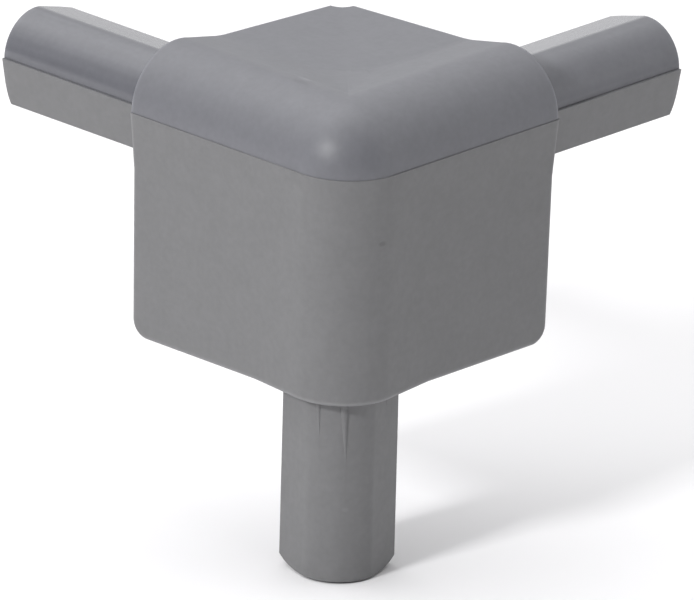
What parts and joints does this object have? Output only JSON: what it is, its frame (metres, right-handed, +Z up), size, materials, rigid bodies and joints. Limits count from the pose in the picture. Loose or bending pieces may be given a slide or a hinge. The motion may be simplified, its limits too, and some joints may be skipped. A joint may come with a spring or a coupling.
{
  "type": "case corner",
  "caption": "Moulded plastic corner for a case or cabinet frame: rounded outer edges, recessed panels, and legs that plug into hollow edge profiles.",
  "frame": {"origin": "the point where the axes of the three legs cross", "axes": "+X along the right leg, +Y along the left leg, +Z up and away from the down leg; the outer corner of the case points to -X -Y +Z"},
  "size_m": [0.0659, 0.0659, 0.0658],
  "materials": {
    "grey_plastic": "satin moulded, fine grain"
  },
  "bodies": {
    "root": {"case_corner": "grey_plastic"}
  },
  "joints": []
}
